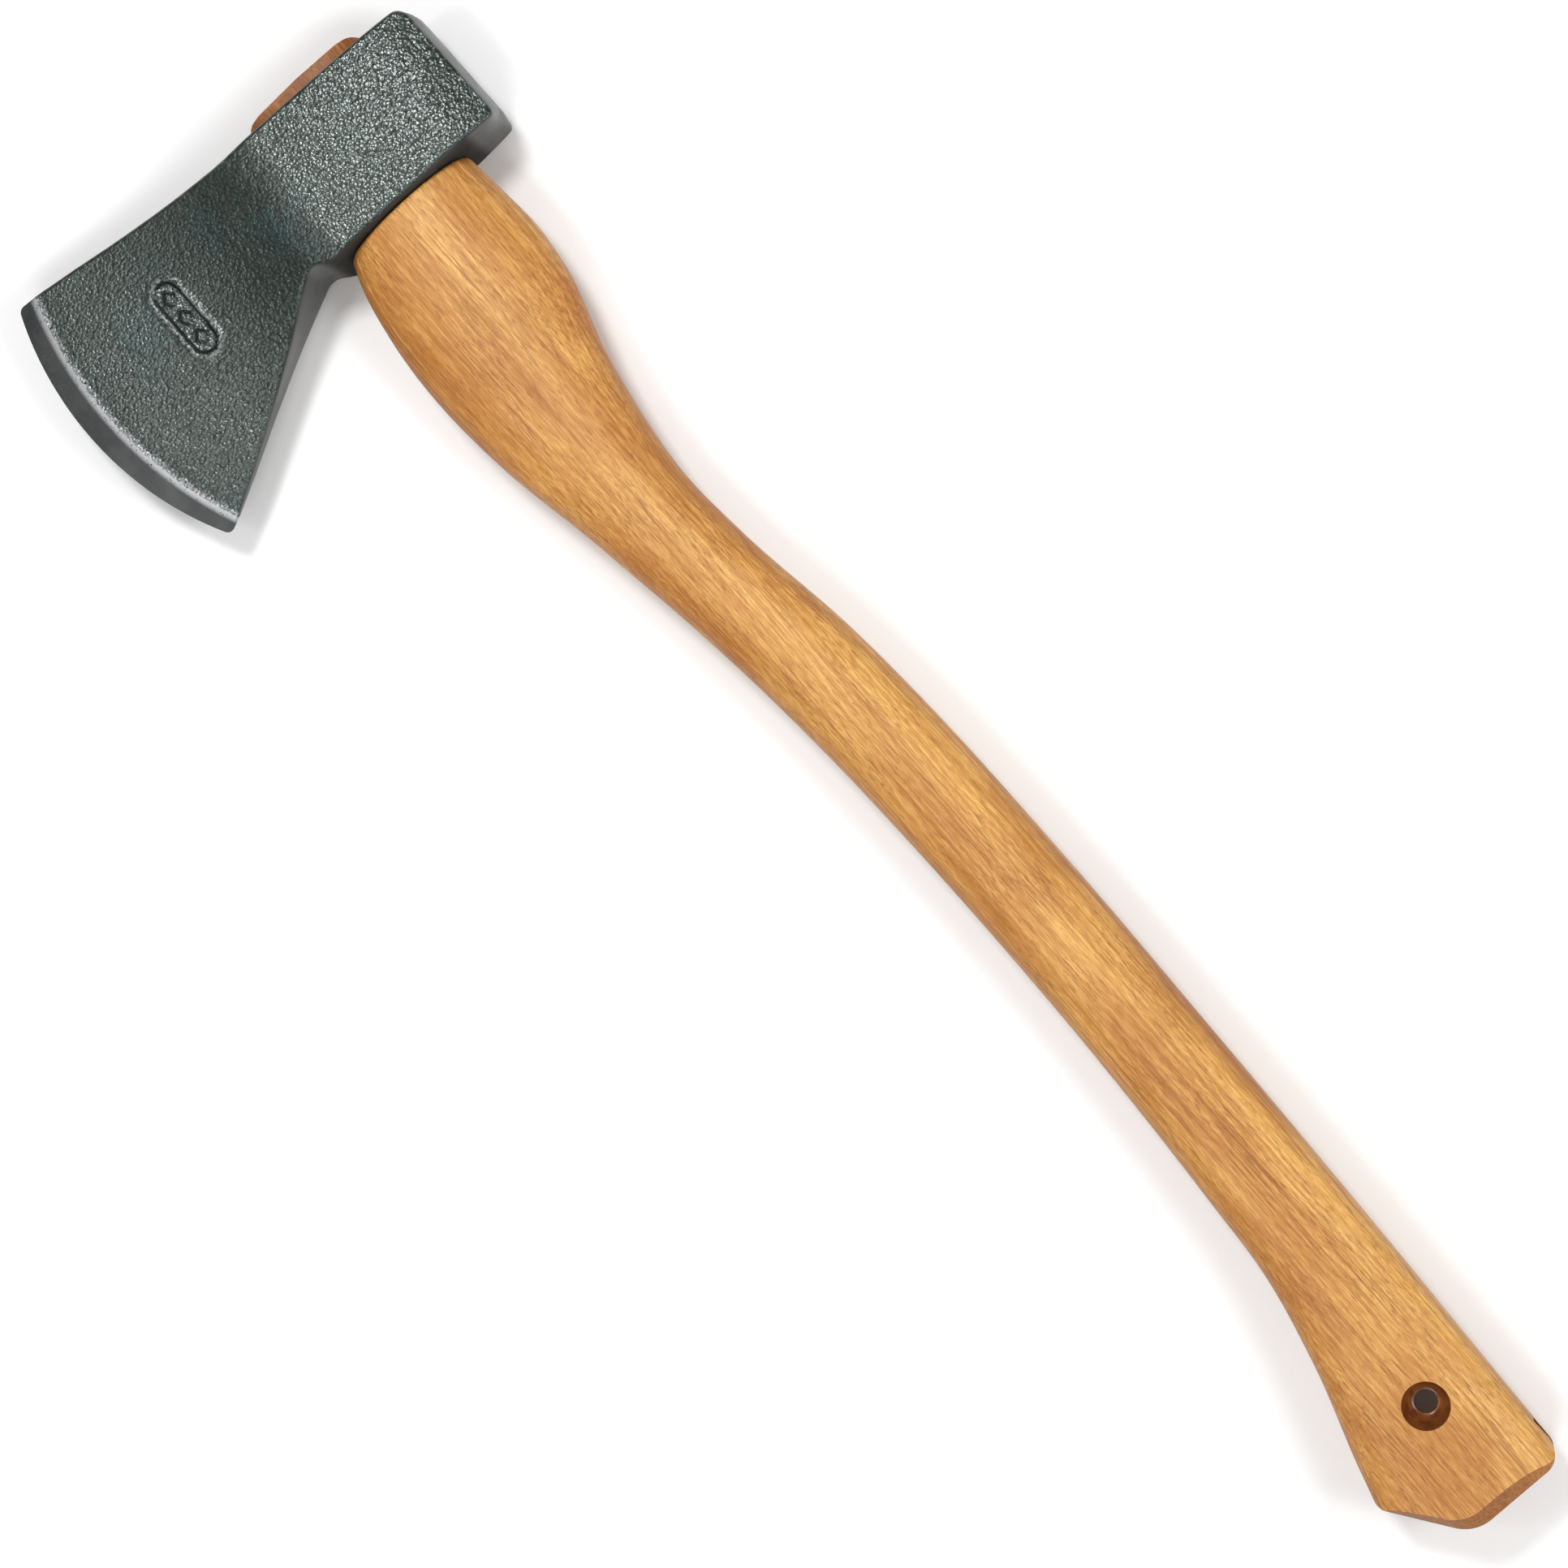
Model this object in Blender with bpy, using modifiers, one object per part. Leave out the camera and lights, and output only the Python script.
"""A single-bit camp axe: a forged head, a curved hickory handle and the two wedges in its eye.

Metres, +Z up.  The axe lies on its cheek, with the handle along X, the head at +X and the
cutting edge towards +Y.  It is drawn with x = 0 at the head's underside, y = 0 on the axis of
the eye and z = 0 on the plane that halves it, and put_on_ground() then moves every piece so
that the origin is the middle of the axe's footprint, on the surface that it lies on.
"""
import math

import bmesh
import bpy
from mathutils import Vector

MM = 0.001

# ---------------------------------------------------------------- driving dimensions
GAP = 0.3 * MM                  # clearance between neighbouring pieces

# Eye, a tapered oval that is wider at the top.  Its length runs along y, its width along z.
EYE_LENGTH_BOTTOM = 40.0 * MM
EYE_LENGTH_TOP = 42.4 * MM
EYE_WIDTH_BOTTOM = 17.4 * MM
EYE_WIDTH_TOP = 19.0 * MM
EYE_SQUARENESS = 2.5            # 2 is an ellipse, more is boxier

# Head.  Heights are along x from its underside, reaches are along y from the eye's axis,
# and what lies near the eye is measured from the eye's back or front end.
POLL_REACH = 36.3 * MM          # eye axis to the poll's striking face
POLL_HEIGHT = 40.4 * MM         # underside to top at the poll
POLL_TOP_CORNER = 4.5 * MM      # radii of the poll's corners, seen from the side
POLL_UNDER_CORNER = 7.5 * MM
TOP_BEND_RUN = 9.0 * MM         # front of the eye to where the top starts to climb to the toe
TOP_BEND_HEIGHT = 42.2 * MM
TOP_BEND_RADIUS = 60.0 * MM
BIT_REACH = 110.1 * MM          # eye axis to the middle of the cutting edge
EDGE_RADIUS = 100.9 * MM        # the cutting edge is one arc, seen from the side
EDGE_CENTRE_HEIGHT = 14.8 * MM
TOE_HEIGHT = 54.9 * MM
TOE_CORNER = 3.0 * MM
HEEL_DROP = 33.6 * MM           # the heel hangs this far below the underside
HEEL_CORNER = 2.0 * MM
LUG_WALL = 5.2 * MM             # front of the eye to the lug's front end
LUG_CORNER = 1.5 * MM
NOTCH_RUN = 5.8 * MM            # lug's front end to the notch between lug and beard
NOTCH_HEIGHT = 3.5 * MM
NOTCH_RADIUS = 4.5 * MM

POLL_THICKNESS = 26.0 * MM
CHEEK_THICKNESS = 31.6 * MM     # across the flat cheeks beside the eye
CHEEK_BACK_RUN = 2.0 * MM       # the flat cheeks run this far past the back of the eye
CHEEK_FRONT_RUN = 4.5 * MM      # and this far past its front
CHEEK_BLEND = 12.0 * MM         # radius where the flat cheek turns into the blade
THROAT_RUN = 27.5 * MM          # front of the eye to where the throat's thickness is given
THROAT_THICKNESS = 15.4 * MM
BLADE_THICKNESS = 8.2 * MM      # a third of the way from the throat to the ground band
WEB_THICKNESS = 5.2 * MM        # two thirds of the way
BEVEL_WIDTH = 7.6 * MM          # ground band along the cutting edge
BEVEL_THICKNESS = 3.8 * MM      # blade thickness where that band starts
EDGE_LAND = 0.3 * MM            # thickness left at the very edge

# Handle.  Distances down the handle are measured from the head's underside.
HANDLE_LENGTH = 459.2 * MM      # underside of the head to the butt
TONGUE = 5.4 * MM               # how far the handle stands out of the top of the eye
TONGUE_CORNER = 5.0 * MM        # radius of the tongue's ends, seen from the side
SHOULDER_GAP = 0.5 * MM
SHOULDER_CHAMFER = 1.2 * MM
STATIONS_PAST_BUTT = 12.0 * MM  # the skin runs on this far, and the butt is cut from it
HANDLE_SQUARENESS = 2.25        # section of the handle, 2 is an ellipse
ENDS_CLEAR = 0.2 * MM           # the end form stands this far off the handle's own lines

# The handle's lines, in millimetres.  Under the head: (distance down the handle, how far the
# line stands out past the eye).  Along the grip: (distance down the handle, reach from the
# eye's axis).  At the knob: (distance up from the butt, reach from the eye's axis).
BACK_LINE = {"head": [(0, 1.0), (12, 1.9), (28, 2.8), (42, 1.2)],
             "grip": [(68, -13.8), (88, -10.0), (106, -8.2), (128, -9.4), (168, -14.6),
                      (200, -16.6), (240, -17.2)],
             "knob": [(119, -15.6), (19, -12.4), (-21, -11.0)]}
FRONT_LINE = {"head": [(0, 1.9), (8, 5.0), (24, 8.5), (46, 10.1)],
              "grip": [(68, 28.8), (108, 22.3), (148, 16.7), (188, 13.2), (232, 11.8)],
              "knob": [(111, 14.7), (87, 16.5), (61, 22.2), (25, 33.8), (-21, 46.0)]}
SIDE_LINE = {"head": [(0, 2.7), (30, 3.7), (60, 3.2)],
             "grip": [(110, 10.8), (200, 10.9)],
             "knob": [(159, 11.1), (59, 11.5), (-21, 11.9)]}

# Butt of the handle
BUTT_FLAT_FRONT = 18.9 * MM     # reach at which the straight end cut turns oblique
BUTT_TOE_RISE = 21.2 * MM       # the knob's front toe is this far above the butt
BUTT_TOE_REACH = 34.4 * MM
BUTT_BACK_CORNER = 6.0 * MM
BUTT_FRONT_CORNER = 11.0 * MM
BUTT_TOE_CORNER = 4.0 * MM
BUTT_CHAMFER = 4.2 * MM         # chamfer around the end, measured along the handle
END_FORM_CUT = 1.5              # the end form's own chamfer is this many times as wide

# Lanyard hole
BORE_RADIUS = 3.2 * MM
BORE_LENGTH = 2.6 * MM          # the straight bore between the two dished mouths
BORE_MOUTH_RADIUS = 6.8 * MM
BORE_UP_FROM_BUTT = 33.8 * MM
BORE_REACH = 6.3 * MM

# Wedges
KERF_BOTTOM = 12.0 * MM         # bottom of the saw kerf, above the head's underside
WEDGE_TOP = 4.6 * MM            # wooden wedge: thickness at its top and at its tip
WEDGE_TIP = 1.2 * MM
WEDGE_END_MARGIN = 1.2 * MM     # the wedge stops this far inside each end of the tenon
STEEL_WEDGE_WIDTH = 13.0 * MM
STEEL_WEDGE_DEPTH = 22.0 * MM
STEEL_WEDGE_TOP = 3.2 * MM
STEEL_WEDGE_TIP = 0.8 * MM

# Fineness
ROUND_STEPS = 48                # sides of a turned piece
EDGE_RING_STEPS = 192           # sides of the ring that grinds the cutting edge
SECTION_STEPS = 40              # points around the handle
STATION_SPACING = 9.0 * MM
ARC_STEP = math.radians(11.0)   # largest angle between points on a rounded corner
EDGE_STEPS = 26
BLADE_STEPS = 16
MOUTH_STEPS = 6
OVERRUN = 5.0 * MM              # how far a cutter runs past what it cuts


# ---------------------------------------------------------------- outlines
def hermite(knots, x):
    """Height at x of the smooth line through knots, a sorted list of (x, height)."""
    def slope(i):
        if i in (0, len(knots) - 1):
            a, b = (knots[0], knots[1]) if i == 0 else (knots[-2], knots[-1])
            return (b[1] - a[1]) / (b[0] - a[0])
        (x0, h0), (x1, h1), (x2, h2) = knots[i - 1:i + 2]
        before, after = (h1 - h0) / (x1 - x0), (h2 - h1) / (x2 - x1)
        return (before * (x2 - x1) + after * (x1 - x0)) / (x2 - x0)

    i = max(k for k in range(len(knots) - 1) if k == 0 or knots[k][0] <= x)
    (x0, h0), (x1, h1) = knots[i:i + 2]
    span = x1 - x0
    t = (x - x0) / span
    return ((2 * t**3 - 3 * t**2 + 1) * h0 + (t**3 - 2 * t**2 + t) * span * slope(i)
            + (3 * t**2 - 2 * t**3) * h1 + (t**3 - t**2) * span * slope(i + 1))


def line_at(line, distance, eye_end):
    """Reach of one of the handle's lines; eye_end is where the eye ends on that side."""
    outward = math.copysign(1, eye_end)
    knots = [(down, eye_end / MM + outward * out) for down, out in line["head"]]
    knots += line["grip"]
    knots += [(HANDLE_LENGTH / MM - up, reach) for up, reach in line["knob"]]
    return hermite(knots, distance / MM) * MM


def back_at(distance):
    return line_at(BACK_LINE, distance, -EYE_LENGTH_BOTTOM / 2)


def front_at(distance):
    return line_at(FRONT_LINE, distance, EYE_LENGTH_BOTTOM / 2)


def side_at(distance):
    return line_at(SIDE_LINE, distance, EYE_WIDTH_BOTTOM / 2)


def rounded(corners):
    """The outline through corners, each (u, v, radius), with its corners rounded."""
    outline = []
    for i, (u, v, radius) in enumerate(corners):
        here = Vector((u, v))
        if radius == 0:
            outline.append(here)
            continue
        before = (Vector(corners[i - 1][:2]) - here).normalized()
        after = (Vector(corners[(i + 1) % len(corners)][:2]) - here).normalized()
        half = before.angle(after) / 2
        centre = here + (before + after).normalized() * (radius / math.sin(half))
        start = here + before * (radius / math.tan(half)) - centre
        sweep = (math.pi - 2 * half) * (1 if before.cross(after) < 0 else -1)
        steps = max(2, math.ceil(abs(sweep) / ARC_STEP))
        for k in range(steps + 1):
            a = sweep * k / steps
            outline.append(centre + Vector((start.x * math.cos(a) - start.y * math.sin(a),
                                            start.x * math.sin(a) + start.y * math.cos(a))))
    return outline


def oval(half_y, half_z, squareness):
    """Points of a superellipse around the x axis, as (y, z)."""
    points = []
    for i in range(SECTION_STEPS):
        a = math.tau * (i + 0.5) / SECTION_STEPS
        c, s = math.cos(a), math.sin(a)
        points.append((half_y * math.copysign(abs(c) ** (2 / squareness), c),
                       half_z * math.copysign(abs(s) ** (2 / squareness), s)))
    return points


# ---------------------------------------------------------------- solids
def collection(name):
    made = bpy.data.collections.new(name)
    bpy.context.scene.collection.children.link(made)
    return made


def add_object(name, data, where):
    made = bpy.data.objects.new(name, data)
    where.objects.link(made)
    return made


def as_cutter(made):
    made.hide_render = True
    made.display_type = 'WIRE'
    return made


def mesh_from(name, bm):
    mesh = bpy.data.meshes.new(name)
    bm.to_mesh(mesh)
    bm.free()
    return mesh


def flat_solid(name, outline, half_thickness, where):
    """A closed outline in x and y, as a mesh that reaches half_thickness either way along z."""
    curve = bpy.data.curves.new(name, 'CURVE')
    curve.dimensions = '2D'
    curve.fill_mode = 'BOTH'
    curve.extrude = half_thickness
    spline = curve.splines.new('POLY')
    spline.points.add(len(outline) - 1)
    for point, (x, y) in zip(spline.points, outline):
        point.co = (x, y, 0, 1)
    spline.use_cyclic_u = True
    drawn = add_object(name + "_curve", curve, where)
    depsgraph = bpy.context.evaluated_depsgraph_get()
    mesh = bpy.data.meshes.new_from_object(drawn.evaluated_get(depsgraph))
    bm = bmesh.new()
    bm.from_mesh(mesh)
    bmesh.ops.remove_doubles(bm, verts=bm.verts, dist=0.00001)
    bmesh.ops.recalc_face_normals(bm, faces=bm.faces)
    bm.to_mesh(mesh)
    bm.free()
    solid = add_object(name, mesh, where)
    solid.matrix_world = drawn.matrix_world
    bpy.data.objects.remove(drawn)
    return solid


def loft(name, sections, where):
    """A closed skin over sections, each a ring of as many points."""
    bm = bmesh.new()
    rings = [[bm.verts.new(point) for point in ring] for ring in sections]
    count = len(rings[0])
    for lower, upper in zip(rings, rings[1:]):
        for i in range(count):
            j = (i + 1) % count
            bm.faces.new((lower[i], lower[j], upper[j], upper[i]))
    bm.faces.new(rings[0])
    bm.faces.new(rings[-1])
    bmesh.ops.recalc_face_normals(bm, faces=bm.faces)
    return add_object(name, mesh_from(name, bm), where)


def turned(name, profile, where, steps=ROUND_STEPS, closed=False):
    """A profile of (radius, z) points, running down its outer side, turned around z."""
    bm = bmesh.new()
    verts = [bm.verts.new((r, 0, z)) for r, z in profile]
    pairs = list(zip(verts, verts[1:]))
    if closed:
        pairs.append((verts[-1], verts[0]))
    for pair in pairs:
        bm.edges.new(pair)
    solid = add_object(name, mesh_from(name, bm), where)
    screw = solid.modifiers.new("turn", 'SCREW')
    screw.axis = 'Z'
    screw.steps = screw.render_steps = steps
    screw.use_merge_vertices = True
    screw.merge_threshold = 0.00001
    return solid


def tapered_block(name, top, bottom, half_top, half_bottom, where):
    """A wedge along x: half_top and half_bottom are half its (y, z) size at its two ends."""
    bm = bmesh.new()
    bmesh.ops.create_cube(bm, size=2.0)
    for vert in bm.verts:
        half = half_top if vert.co.x > 0 else half_bottom
        vert.co = (top if vert.co.x > 0 else bottom, vert.co.y * half[0], vert.co.z * half[1])
    return add_object(name, mesh_from(name, bm), where)


def boolean(solid, cutter, operation):
    modifier = solid.modifiers.new(operation.lower() + "_" + cutter.name, 'BOOLEAN')
    modifier.operation = operation
    modifier.solver = 'EXACT'
    modifier.object = cutter


def finish(solid, name, colour, roughness, metallic, smooth_angle=30):
    """Gives a piece its material and smooths its round faces."""
    material = bpy.data.materials.new(name)
    material.use_nodes = True
    shader = material.node_tree.nodes["Principled BSDF"]
    shader.inputs["Base Color"].default_value = (*colour, 1)
    shader.inputs["Roughness"].default_value = roughness
    shader.inputs["Metallic"].default_value = metallic
    solid.data.materials.append(material)
    solid.data.shade_smooth()
    solid.data.set_sharp_from_angle(angle=math.radians(smooth_angle))


# ---------------------------------------------------------------- head
EYE_FRONT = EYE_LENGTH_BOTTOM / 2
EDGE_CENTRE_REACH = BIT_REACH - EDGE_RADIUS
TOP_BEND_REACH = EYE_FRONT + TOP_BEND_RUN
EYE_TOP = POLL_HEIGHT + (TOP_BEND_HEIGHT - POLL_HEIGHT) * POLL_REACH / (POLL_REACH + TOP_BEND_REACH)
TENON_TOP = EYE_TOP + TONGUE


def edge_reach(height):
    """Reach of the cutting edge at a height above the underside."""
    rise = height - EDGE_CENTRE_HEIGHT
    return EDGE_CENTRE_REACH + math.sqrt(EDGE_RADIUS**2 - rise**2)


def side_outline():
    """The head from its side, from the poll along the underside, round the edge and back."""
    lug = EYE_FRONT + LUG_WALL
    corners = [(0, -POLL_REACH, POLL_UNDER_CORNER),
               (0, lug, LUG_CORNER),
               (NOTCH_HEIGHT, lug + NOTCH_RUN, NOTCH_RADIUS),
               (-HEEL_DROP, edge_reach(-HEEL_DROP), HEEL_CORNER)]
    for k in range(1, EDGE_STEPS):
        height = -HEEL_DROP + (TOE_HEIGHT + HEEL_DROP) * k / EDGE_STEPS
        corners.append((height, edge_reach(height), 0))
    corners += [(TOE_HEIGHT, edge_reach(TOE_HEIGHT), TOE_CORNER),
                (TOP_BEND_HEIGHT, TOP_BEND_REACH, TOP_BEND_RADIUS),
                (POLL_HEIGHT, -POLL_REACH, POLL_TOP_CORNER)]
    return rounded(corners)


def thickness_outline():
    """The head from above, as (reach, half thickness): poll, flat cheeks, then the blade."""
    cheek_back = -EYE_FRONT - CHEEK_BACK_RUN
    cheek_front = EYE_FRONT + CHEEK_FRONT_RUN
    throat = EYE_FRONT + THROAT_RUN
    bevel = BIT_REACH - BEVEL_WIDTH
    hollow = [(cheek_front, CHEEK_THICKNESS / 2),
              (throat, THROAT_THICKNESS / 2),
              (throat + (bevel - throat) / 3, BLADE_THICKNESS / 2),
              (throat + (bevel - throat) * 2 / 3, WEB_THICKNESS / 2),
              (bevel, BEVEL_THICKNESS / 2),
              (BIT_REACH + OVERRUN, BEVEL_THICKNESS / 2)]
    side = [(-POLL_REACH - OVERRUN, POLL_THICKNESS / 2, 0),
            (-POLL_REACH, POLL_THICKNESS / 2, 0),
            (cheek_back, CHEEK_THICKNESS / 2, CHEEK_BLEND),
            (cheek_front, CHEEK_THICKNESS / 2, CHEEK_BLEND)]
    start = (2 * cheek_front + throat) / 3
    for k in range(BLADE_STEPS + 1):
        reach = start + (hollow[-1][0] - start) * k / BLADE_STEPS
        side.append((reach, hermite(hollow, reach), 0))
    other = [(reach, -half, radius) for reach, half, radius in reversed(side)]
    return rounded(side + other)


def grinding_ring(cutters):
    """The rings that grind both sides of the edge, one cone above the blade and one below."""
    slope = (BEVEL_THICKNESS - EDGE_LAND) / 2 / BEVEL_WIDTH
    depth = 3.5 * BEVEL_WIDTH
    high = EDGE_LAND / 2 + slope * depth
    outside = EDGE_RADIUS + OVERRUN
    ring = turned("grinding_ring", [(outside, high), (outside, EDGE_LAND / 2),
                                    (EDGE_RADIUS, EDGE_LAND / 2), (EDGE_RADIUS - depth, high)],
                  cutters, steps=EDGE_RING_STEPS, closed=True)
    ring.location = (EDGE_CENTRE_HEIGHT, EDGE_CENTRE_REACH, 0)
    mirror = ring.modifiers.new("both_sides", 'MIRROR')
    mirror.use_axis = (False, False, True)
    mirror.use_mirror_merge = False
    return as_cutter(ring)


def make_head(parts, cutters):
    head = flat_solid("axe_head", side_outline(), CHEEK_THICKNESS, parts)
    plan = flat_solid("cheek_form", thickness_outline(), TOE_HEIGHT + HEEL_DROP, cutters)
    plan.rotation_euler = (math.pi / 2, 0, math.pi / 2)
    boolean(head, as_cutter(plan), 'INTERSECT')
    boolean(head, grinding_ring(cutters), 'DIFFERENCE')
    eye = loft("eye_form", [eye_section(-OVERRUN), eye_section(EYE_TOP + 2 * OVERRUN)], cutters)
    boolean(head, as_cutter(eye), 'DIFFERENCE')
    finish(head, "painted_steel", (0.028, 0.036, 0.034), 0.32, 0.55)


def eye_half(height):
    """Half of the eye's (length, width) at a height above the underside."""
    t = height / EYE_TOP
    return ((EYE_LENGTH_BOTTOM + (EYE_LENGTH_TOP - EYE_LENGTH_BOTTOM) * t) / 2,
            (EYE_WIDTH_BOTTOM + (EYE_WIDTH_TOP - EYE_WIDTH_BOTTOM) * t) / 2)


def eye_section(height, inset=0.0):
    """The eye's oval at a height, or with inset the tenon's."""
    half_y, half_z = eye_half(height)
    return [(height, y, z) for y, z in oval(half_y - inset, half_z - inset, EYE_SQUARENESS)]


# ---------------------------------------------------------------- handle
def handle_section(distance, inset=0.0):
    """The handle's section at a distance below the underside."""
    back, front = back_at(distance), front_at(distance)
    middle = (front + back) / 2
    ring = oval((front - back) / 2 - inset, side_at(distance) - inset, HANDLE_SQUARENESS)
    return [(-distance, middle + y, z) for y, z in ring]


def make_handle(parts, cutters, ends, wedge_slots):
    first = SHOULDER_GAP + SHOULDER_CHAMFER
    last = HANDLE_LENGTH + STATIONS_PAST_BUTT
    steps = round((last - first) / STATION_SPACING)
    sections = [handle_section(first + (last - first) * k / steps) for k in range(steps, -1, -1)]
    sections.append(handle_section(SHOULDER_GAP, SHOULDER_CHAMFER))
    sections.append(eye_section(-SHOULDER_GAP, GAP))
    sections.append(eye_section(TENON_TOP + OVERRUN, GAP))
    handle = loft("handle", sections, parts)
    boolean(handle, ends, 'INTERSECT')
    boolean(handle, lanyard_form(cutters), 'DIFFERENCE')
    for slot in wedge_slots:
        boolean(handle, slot, 'DIFFERENCE')
    finish(handle, "varnished_hickory", (0.62, 0.33, 0.11), 0.3, 0.0)


def end_form(cutters):
    """What both ends are cut from: a slab with their outline, shorter towards its two faces."""
    stations = [HANDLE_LENGTH * k / 20 for k in range(21)]
    far_front = max(front_at(distance) for distance in stations) + OVERRUN
    far_back = min(back_at(distance) for distance in stations) - OVERRUN
    back = back_at(HANDLE_LENGTH) - ENDS_CLEAR
    toe_front = front_at(HANDLE_LENGTH - 2 * BUTT_TOE_RISE) + ENDS_CLEAR
    tongue = eye_half(TENON_TOP)[0] - GAP + ENDS_CLEAR
    bend = -HANDLE_LENGTH + 3 * BUTT_TOE_RISE
    low = EYE_TOP - TONGUE
    outline = rounded([
        (low, far_back, 0),
        (bend, far_back, 0),
        (-HANDLE_LENGTH + 2 * BUTT_BACK_CORNER, back, 0),
        (-HANDLE_LENGTH, back, BUTT_BACK_CORNER),
        (-HANDLE_LENGTH, BUTT_FLAT_FRONT, BUTT_FRONT_CORNER),
        (-HANDLE_LENGTH + BUTT_TOE_RISE, BUTT_TOE_REACH, BUTT_TOE_CORNER),
        (-HANDLE_LENGTH + 2 * BUTT_TOE_RISE, toe_front, 0),
        (bend, far_front, 0),
        (low, far_front, 0),
        (low, tongue, 0),
        (TENON_TOP, tongue, TONGUE_CORNER),
        (TENON_TOP, -tongue, TONGUE_CORNER),
        (low, -tongue, 0)])
    cut = END_FORM_CUT * BUTT_CHAMFER
    half = side_at(HANDLE_LENGTH) + cut - BUTT_CHAMFER
    middle = (TENON_TOP - HANDLE_LENGTH) / 2
    shorter = 1 - cut / (TENON_TOP - middle)
    rings = [[(middle + (x - middle) * scale, y, z) for x, y in outline]
             for z, scale in ((-half, shorter), (cut - half, 1), (half - cut, 1), (half, shorter))]
    return as_cutter(loft("end_form", rings, cutters))


def lanyard_form(cutters):
    """The lanyard hole: a short bore that opens into a dished mouth on either side."""
    distance = HANDLE_LENGTH - BORE_UP_FROM_BUTT
    surface = side_at(distance)
    depth = surface - BORE_LENGTH / 2
    flare = BORE_MOUTH_RADIUS - BORE_RADIUS
    mouth = []
    for k in range(MOUTH_STEPS + 1):
        a = math.pi / 2 * k / MOUTH_STEPS
        mouth.append((BORE_MOUTH_RADIUS - flare * math.sin(a), surface - depth * (1 - math.cos(a))))
    upper = [(0, surface + OVERRUN), (BORE_MOUTH_RADIUS, surface + OVERRUN)] + mouth
    lower = [(radius, -z) for radius, z in reversed(upper)]
    form = turned("lanyard_form", upper + lower, cutters)
    form.location = (-distance, BORE_REACH, 0)
    return as_cutter(form)


# ---------------------------------------------------------------- wedges
def wooden_wedge(name, grow, where, overrun=0.0):
    """The wooden wedge, as long as the tenon allows, or with grow the kerf that holds it."""
    margin = -WEDGE_END_MARGIN if grow else WEDGE_END_MARGIN
    slope = (WEDGE_TOP - WEDGE_TIP) / 2 / (TENON_TOP - KERF_BOTTOM)
    top, bottom = TENON_TOP + overrun, KERF_BOTTOM - grow
    return tapered_block(name, top, bottom,
                         (eye_half(top)[0] - margin, WEDGE_TOP / 2 + slope * overrun + grow),
                         (eye_half(bottom)[0] - margin, WEDGE_TIP / 2 + grow), where)


def steel_wedge(name, grow, where, overrun=0.0):
    """The steel wedge across the wooden one, or with grow the slot that it has cut."""
    slope = (STEEL_WEDGE_TOP - STEEL_WEDGE_TIP) / 2 / STEEL_WEDGE_DEPTH
    half_width = STEEL_WEDGE_WIDTH / 2 + grow
    return tapered_block(name, TENON_TOP + overrun, TENON_TOP - STEEL_WEDGE_DEPTH - grow,
                         (STEEL_WEDGE_TOP / 2 + slope * overrun + grow, half_width),
                         (STEEL_WEDGE_TIP / 2 + grow, half_width), where)


# ---------------------------------------------------------------- assembly
def put_on_ground(everything, parts):
    """Moves the axe so that the middle of its footprint is the origin."""
    bpy.context.view_layer.update()
    depsgraph = bpy.context.evaluated_depsgraph_get()
    corners = []
    for piece in parts.objects:
        mesh = piece.evaluated_get(depsgraph).to_mesh()
        corners += [piece.matrix_world @ vert.co for vert in mesh.vertices]
    low = Vector([min(corner[i] for corner in corners) for i in range(3)])
    high = Vector([max(corner[i] for corner in corners) for i in range(3)])
    middle = (low + high) / 2
    for piece in everything:
        piece.location -= Vector((middle.x, middle.y, low.z))


def main():
    for old in list(bpy.data.objects):
        bpy.data.objects.remove(old)
    parts, cutters = collection("camp_axe"), collection("cutters")

    kerf = as_cutter(wooden_wedge("kerf_form", GAP, cutters, OVERRUN))
    slot = as_cutter(steel_wedge("steel_slot_form", GAP, cutters, OVERRUN))
    make_head(parts, cutters)
    ends = end_form(cutters)
    make_handle(parts, cutters, ends, [kerf, slot])

    wedge = wooden_wedge("eye_wedge", 0, parts, OVERRUN)
    boolean(wedge, ends, 'INTERSECT')
    boolean(wedge, slot, 'DIFFERENCE')
    finish(wedge, "wedge_wood", (0.55, 0.36, 0.17), 0.6, 0.0)
    steel = steel_wedge("steel_wedge", 0, parts)
    finish(steel, "bare_steel", (0.45, 0.45, 0.45), 0.4, 1.0)

    put_on_ground(list(parts.objects) + list(cutters.objects), parts)


main()
